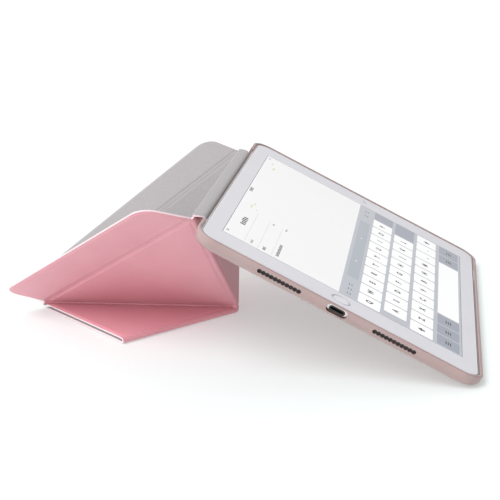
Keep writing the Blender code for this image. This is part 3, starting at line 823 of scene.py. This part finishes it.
def skin_rings(data, rings):
    """A closed solid through rings of equal length."""
    rows = [[data.verts.new(point) for point in ring] for ring in rings]
    for lower, upper in zip(rows, rows[1:]):
        for index in range(len(lower)):
            after = (index + 1) % len(lower)
            data.faces.new((lower[index], lower[after], upper[after], upper[index]))
    data.faces.new(list(reversed(rows[0])))
    data.faces.new(rows[-1])


def side_cutter(data, outline, normal, point):
    """A prism that goes in through one of the shell's sides."""
    out = Vector(normal)
    up = Vector((0, 0, 1))
    axes = Matrix((up.cross(out), up, out)).transposed()
    skin_rings(data, [[axes @ Vector((x, y, height)) + Vector(point) for x, y in outline]
                      for height in (CUT_START, CUT_STOP)])


def shell_cutters():
    data = bmesh.new()
    gap_side = -(TABLET_WIDTH / 2 + CLEARANCE + SHELL_WALL)
    half = HINGE_GAP_LENGTH / 2
    start, stop = (gap_side + reach for reach in GAP_CUT)
    corners = [(start, -half), (stop, -half), (stop, half), (start, half)]
    skin_rings(data, [[Vector((u, v, height)) for u, v in corners]
                      for height in (-HINGE_WALL_TOP, GAP_CUT_TOP)])
    for side in (-1, 1):
        for place in (-SPEAKER_U, SPEAKER_U):
            side_cutter(data, scalloped_outline(*SPEAKER_HOLES), (0, side, 0),
                        (place, side * TABLET_LENGTH / 2, FEATURE_N))
    for cut, side, place in ((PORT_CUT, -1, 0.0), (JACK_CUT, 1, JACK_U), (POWER_CUT, 1, POWER_U)):
        side_cutter(data, slot_outline(*cut), (0, side, 0),
                    (place, side * TABLET_LENGTH / 2, FEATURE_N))
    side_cutter(data, slot_outline(*VOLUME_CUT), (1, 0, 0),
                (TABLET_WIDTH / 2, VOLUME_MIDDLE, FEATURE_N))
    round_hole = arc(CAMERA_UV, CAMERA_CUT_RADIUS, 0, 360, CAMERA_CUT_SIDES)[:-1]
    skin_rings(data, [[Vector((u, v, height)) for u, v in round_hole]
                      for height in CAMERA_CUT])
    return data


def build_shell():
    """The shell again, with finer curves and a lip that closes on the tablet's edge."""
    outside = shell_quarter(0.0, HULL_INSET, -HULL_TOP, SHELL_BACK - HULL_TOP, HULL_STEPS)
    lip = [shell_ring(0.0, -HULL_TOP), shell_ring(0.0, LIP_START)]
    for step in range(1, LIP_STEPS + 1):
        angle = math.pi / 2 * step / LIP_STEPS
        lip.append(shell_ring(LIP_ROUND * (1 - math.cos(angle)),
                              LIP_START + (SHELL_LIP - LIP_START) * math.sin(angle)))
    lip += [shell_ring(*pull_in_and_height) for pull_in_and_height in LIP_FALL]
    floor = -TABLET_THICKNESS - CLEARANCE
    pocket_top = floor + TABLET_EDGE_ROUND
    pocket = [shell_ring(SHELL_WALL, pocket_top)]
    pocket += shell_quarter(SHELL_WALL, TABLET_EDGE_ROUND, pocket_top, TABLET_EDGE_ROUND,
                            POCKET_STEPS)
    data = bmesh.new()
    skin_rings(data, list(reversed(outside)) + lip + pocket)
    shell = new_piece("moulded_shell", data, (SHELL,))
    cutter = new_piece("shell_cutter", shell_cutters(), (SHELL,))
    boolean = shell.modifiers.new("openings", "BOOLEAN")
    boolean.operation = "DIFFERENCE"
    boolean.solver = "EXACT"
    boolean.object = cutter
    bpy.context.view_layer.update()
    evaluated = shell.evaluated_get(bpy.context.evaluated_depsgraph_get())
    mesh = bpy.data.meshes.new_from_object(evaluated)
    shell.modifiers.clear()
    shell.data = mesh
    bpy.data.objects.remove(cutter, do_unlink=True)
    mesh.transform(TABLET)
    mesh.shade_smooth()
    mesh.set_sharp_from_angle(angle=math.radians(32))
    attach(shell, "case_shell")
    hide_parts("rear_shell")


# ------------------------------------------------------------------ the lit display
PAGE = make_lit("display_page", srgb(247, 247, 247), 0.16)
KEY_BED = make_lit("display_key_bed", srgb(193, 196, 205), 0.08)
TOOL_BAR = make_lit("display_tool_bar", srgb(176, 184, 194), 0.07)
KEY_WHITE = make_lit("display_white_key", srgb(252, 252, 252), 0.22)
KEY_GREY = make_lit("display_grey_key", srgb(160, 165, 180), 0.06)
INK = make_lit("display_ink", srgb(30, 30, 32), 0.0)
HAIRLINE = make_lit("display_hairline", srgb(228, 228, 231), 0.10)
LEAF = make_lit("display_leaf_mark", srgb(214, 220, 150), 0.12)
SOFT_INK = make_lit("display_soft_ink", srgb(150, 152, 160), 0.03)
BORDER = make_lit("display_border", srgb(120, 118, 128), 0.0)
INKS = (PAGE, KEY_BED, TOOL_BAR, KEY_WHITE, KEY_GREY, INK, HAIRLINE, LEAF, SOFT_INK, BORDER)

# The display's layout is in millimetres: u from its hinge-side edge, v from its near edge.
LEVEL_STEP = 0.012
LEVEL_BASE = 0.004
BORDER_WIDTH = 0.35
KEY_BED_START = 71.5
TOOL_BAR_SPAN = (73.8, 81.0, 36, 160)
KEY_ROWS = ((83.0, 96.8), (98.9, 113.0), (115.4, 129.6), (132.2, 146.4))
KEY_PITCH = 17.85
KEY_LENGTH = 16.4
KEY_ROUND = 1.1
KEY_LEVEL = 4
KEYS_START = 1.0
KEYS_MARGIN = 0.9
ROW_SHIFT = 0.45                 # the second row's stagger, in pitches
SPACE_BAR = (54.0, 158.2)
GREY_KEYS = ((1.0, 17.2), (18.8, 34.4), (36.0, 52.0), (160.0, 176.6), (178.4, 196.2))
SHIFT = "^"
LETTER_SIZE = 0.0052             # the letters are in metres
LETTER_BOLD = 0.00025
LETTER_HALF_DEPTH = 0.000006
LETTER_LEVEL = 0.000062


def display_point(u, v, n):
    """A point on the display: u mm from its hinge-side edge, v mm from its near edge."""
    return TABLET @ Vector((u * MM - SCREEN_WIDTH / 2, v * MM - SCREEN_LENGTH / 2, n * MM))


def tile(data, u0, u1, v0, v1, level, ink, round_by=0.0):
    """A thin closed patch. Each level stands one step above the one below it."""
    if round_by:
        centre_u, centre_v = (u0 + u1) / 2, (v0 + v1) / 2
        half_u, half_v = (u1 - u0) / 2 - round_by, (v1 - v0) / 2 - round_by
        outline = []
        for su, sv, start in ((1, 1, 0), (-1, 1, 90), (-1, -1, 180), (1, -1, 270)):
            outline += arc((centre_u + su * half_u, centre_v + sv * half_v), round_by,
                           start, start + 90, 3)
    else:
        outline = [(u0, v0), (u1, v0), (u1, v1), (u0, v1)]
    bottom, top = ([data.verts.new(display_point(u, v, step * LEVEL_STEP + LEVEL_BASE))
                    for u, v in outline] for step in (level - 1, level))
    made = [data.faces.new(top), data.faces.new(list(reversed(bottom)))]
    for index in range(len(outline)):
        after = (index + 1) % len(outline)
        made.append(data.faces.new((bottom[index], bottom[after], top[after], top[index])))
    for face in made:
        face.material_index = INKS.index(ink)


def key(data, row, start, stop, ink):
    tile(data, *row, start, stop, KEY_LEVEL, ink, KEY_ROUND)


def build_display():
    """The page and the drawn keyboard: plain marks and generic letters only."""
    data = bmesh.new()
    width, length = SCREEN_WIDTH / MM, SCREEN_LENGTH / MM
    edge = BORDER_WIDTH
    tile(data, -edge, width + edge, -edge, length + edge, 1, BORDER)
    tile(data, 0, width, 0, length, 2, PAGE)
    tile(data, KEY_BED_START, width, 0, length, 3, KEY_BED)
    tile(data, *TOOL_BAR_SPAN, 4, TOOL_BAR)
    letters = []
    keys_stop = length - KEYS_MARGIN
    second = KEYS_START + KEY_PITCH * ROW_SHIFT
    typed = (("qwertyuiop", KEYS_START), ("asdfghjkl", second), ("^zxcvbnm,.^", KEYS_START))
    for row, (text, first) in zip(KEY_ROWS, typed):
        for index, letter in enumerate(text):
            start = first + index * KEY_PITCH
            stop = min(start + KEY_LENGTH, keys_stop)
            key(data, row, start, stop, KEY_WHITE)
            if letter == SHIFT:
                shift_mark(data, row, (start + stop) / 2)
            else:
                letters.append((letter, row, start + KEY_LENGTH / 2))
        if SHIFT not in text:
            key(data, row, first + len(text) * KEY_PITCH, keys_stop, KEY_GREY)
    row = KEY_ROWS[-1]
    for start, stop in GREY_KEYS:
        key(data, row, start, stop, KEY_GREY)
        middle_u, middle_v = sum(row) / 2, (start + stop) / 2
        for shift in (-1.4, 0.0, 1.4):
            tile(data, middle_u + shift - 0.35, middle_u + shift + 0.35, middle_v - 2.4,
                 middle_v + 2.4, KEY_LEVEL + 1, INK)
    key(data, row, *SPACE_BAR, KEY_WHITE)
    marks(data)
    screen = new_piece("display_image", data, INKS)
    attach(screen, "case_shell")
    build_letters(letters)


def shift_mark(data, row, middle_v):
    """A solid arrow that points to the hinge, made of stacked bars."""
    middle_u = sum(row) / 2
    for step in range(6):
        spread = 0.35 + 0.42 * step
        tile(data, middle_u - 2.2 + step * 0.42, middle_u - 1.78 + step * 0.42,
             middle_v - spread, middle_v + spread, 5, INK)
    tile(data, middle_u + 0.3, middle_u + 2.1, middle_v - 1.1, middle_v + 1.1, 5, INK)


def marks(data):
    """Marks that stand for the tool bar's icons, the page's heading, fields and labels.

    A word is its u and v, its number of strokes, its half height and its ink.
    """
    for v in (6.0, 14.0, 22.0, 176.0, 186.0):
        for row in (-1.1, 0.6):
            tile(data, 77.4 + row - 0.3, 77.4 + row + 0.5, v - 1.8, v + 1.8, 4, SOFT_INK)
    for v in (70.0, 120.0):
        tile(data, 76.8, 77.8, v - 1.2, v + 1.2, 5, HAIRLINE)
    for u, stop in ((12.6, 62.0), (21.0, 60.0), (29.4, 58.0)):
        tile(data, u, u + 0.3, 2.0, stop, 3, HAIRLINE)
    words = (
        (2.0, 5.0, 2, 1.0, SOFT_INK), (2.2, 190.0, 2, 1.0, SOFT_INK), (2.0, 98.0, 4, 1.3, INK),
        (7.8, 28.0, 5, 1.9, INK), (16.8, 4.5, 4, 0.9, SOFT_INK), (24.6, 4.0, 3, 1.1, INK),
        (32.8, 5.0, 12, 1.1, INK), (7.2, 66.0, 4, 0.8, LEAF), (8.4, 74.0, 3, 0.8, LEAF),
        (8.0, 168.0, 5, 0.8, LEAF), (5.6, 180.0, 3, 0.8, LEAF), (11.0, 64.0, 3, 0.7, HAIRLINE),
        (23.8, 54.0, 3, 0.7, SOFT_INK), (32.0, 55.0, 4, 0.7, SOFT_INK),
    )
    for u, start, count, half, ink in words:
        for stroke in range(count):
            v = start + stroke * half * 1.7
            tall = half * (1.0 if stroke % 3 != 1 else 0.72)
            tile(data, u - tall, u + half * 0.7, v, v + half * 1.1, 3, ink)


def build_letters(letters):
    """The keys' letters, read from the near end, with their tops towards the hinge."""
    data = bmesh.new()
    turn = Matrix(((0, -1, 0), (1, 0, 0), (0, 0, 1))).to_4x4()
    for index, (letter, row, middle_v) in enumerate(letters):
        curve = bpy.data.curves.new("letter_%02d" % index, "FONT")
        curve.body = letter.upper()
        curve.size = LETTER_SIZE
        curve.align_x = "CENTER"
        curve.align_y = "CENTER"
        curve.extrude = LETTER_HALF_DEPTH
        curve.offset = LETTER_BOLD
        curve.resolution_u = 3
        text = bpy.data.objects.new("letter_%02d" % index, curve)
        bpy.context.scene.collection.objects.link(text)
        bpy.context.view_layer.update()
        mesh = bpy.data.meshes.new_from_object(
            text.evaluated_get(bpy.context.evaluated_depsgraph_get()))
        place = Matrix.Translation(Vector((sum(row) / 2 * MM - SCREEN_WIDTH / 2,
                                           middle_v * MM - SCREEN_LENGTH / 2,
                                           LETTER_LEVEL)))
        mesh.transform(TABLET @ place @ turn)
        data.from_mesh(mesh)
        bpy.data.objects.remove(text, do_unlink=True)
        bpy.data.meshes.remove(mesh)
    bmesh.ops.remove_doubles(data, verts=data.verts, dist=1e-7)
    piece = new_piece("display_letters", data, (INK,))
    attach(piece, "case_shell")


# ------------------------------------------------------------------ materials of the CAD pieces
def dress_frame():
    looks = {
        "rear_shell": SHELL, "tablet_housing": SILVER, "front_glass": BEZEL,
        "front_camera_lens": SENSOR, "home_key_ring": RING, "charging_socket": SOCKET,
        "headphone_jack": SOCKET, "rear_camera_ring": CHROME, "rear_camera_lens": LENS,
        "display_panel": DISPLAY, "battery_pack": FOIL, "logic_board": CIRCUIT,
        "home_key": KEY_FACE, "power_key": SILVER, "volume_up_key": SILVER,
        "volume_down_key": SILVER, "near_flap_magnet": MAGNET, "far_flap_magnet": MAGNET,
    }
    for name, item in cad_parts.items():
        look = looks.get(name)
        if name.startswith("speaker_grille"):
            look = GRILLE
        if look is None:
            look = FELT if name.endswith("lining") else LEATHER
            if name.endswith("board"):
                look = CARD
        item.data.materials.clear()
        item.data.materials.append(look)


# ------------------------------------------------------------------ camera, light and floor
WHITE = (1.0, 1.0, 1.0, 1.0)
FLOOR_HALF = 6.0
SKY_LEFT, SKY_RIGHT = 1.25, 0.15         # the sky's strength towards -X and +X
LAMPS = (                                # name, direction from the object, spread, power
    ("key", (-0.45, -0.55, 1.0), 38.0, 1.4),
    ("back", (0.1, 0.8, 1.0), 60.0, 0.4),
    ("front", (-0.25, -1.0, 0.22), 40.0, 0.7),
)
CAMERA_LENS = 98.6
CAMERA_PLACE = (0.12344, -0.81172, 0.27389)
CAMERA_TURNS = ((8.303, "Z"), (74.155, "X"), (-1.314, "Z"))


def build_floor():
    data = bmesh.new()
    bmesh.ops.create_grid(data, x_segments=2, y_segments=2, size=FLOOR_HALF)
    paper = Surface("floor_paper", 0.95, Specular_IOR_Level=0.1, Emission_Color=WHITE,
                    Emission_Strength=0.32)
    paper.colour(paper.ramp(paper.noise(3.0), ((0.3, (0.60, 0.655, 0.65, 1.0)),
                                               (0.7, (0.605, 0.66, 0.655, 1.0)))))
    floor = new_piece("floor", data, (paper.material,))


def build_sky():
    """A sky that fades from -X to +X, and a plain white backdrop where the camera sees it."""
    world = bpy.data.worlds.new("studio")
    bpy.context.scene.world = world
    world.use_nodes = True
    nodes, links = world.node_tree.nodes, world.node_tree.links
    sky = nodes["Background"]
    sky.inputs["Color"].default_value = WHITE
    direction = nodes.new("ShaderNodeSeparateXYZ")
    links.new(nodes.new("ShaderNodeTexCoord").outputs["Generated"], direction.inputs["Vector"])
    falloff = nodes.new("ShaderNodeMapRange")
    falloff.inputs["From Min"].default_value = -1.0
    falloff.inputs["To Min"].default_value = SKY_LEFT
    falloff.inputs["To Max"].default_value = SKY_RIGHT
    links.new(direction.outputs["X"], falloff.inputs["Value"])
    links.new(falloff.outputs["Result"], sky.inputs["Strength"])
    backdrop = nodes.new("ShaderNodeBackground")
    shown = nodes.new("ShaderNodeMixShader")
    links.new(nodes.new("ShaderNodeLightPath").outputs["Is Camera Ray"], shown.inputs["Fac"])
    links.new(sky.outputs["Background"], shown.inputs[1])
    links.new(backdrop.outputs["Background"], shown.inputs[2])
    backdrop.inputs["Color"].default_value = WHITE
    links.new(shown.outputs["Shader"], nodes["World Output"].inputs["Surface"])


def build_stage():
    build_floor()
    build_sky()
    bpy.context.scene.view_settings.view_transform = "Standard"
    for name, place, spread, power in LAMPS:
        light = bpy.data.lights.new(name, "SUN")
        light.angle = math.radians(spread)
        light.energy = power
        lamp = bpy.data.objects.new(name, light)
        bpy.context.scene.collection.objects.link(lamp)
        lamp.location = place
        lamp.rotation_euler = (-Vector(place)).to_track_quat("-Z", "Y").to_euler()


def build_camera():
    lens = bpy.data.cameras.new("camera")
    lens.lens = CAMERA_LENS
    lens.sensor_width = 36.0
    lens.clip_end = 20.0
    camera = bpy.data.objects.new("camera", lens)
    bpy.context.scene.collection.objects.link(camera)
    place = Matrix.Translation(CAMERA_PLACE)
    for angle, axis in CAMERA_TURNS:
        place = place @ Matrix.Rotation(math.radians(angle), 4, axis)
    camera.matrix_world = place
    bpy.context.scene.camera = camera


build_camera()
build_stage()
dress_frame()
build_panels()
build_creases()
build_front_corner()
build_spine()
build_shell()
build_display()
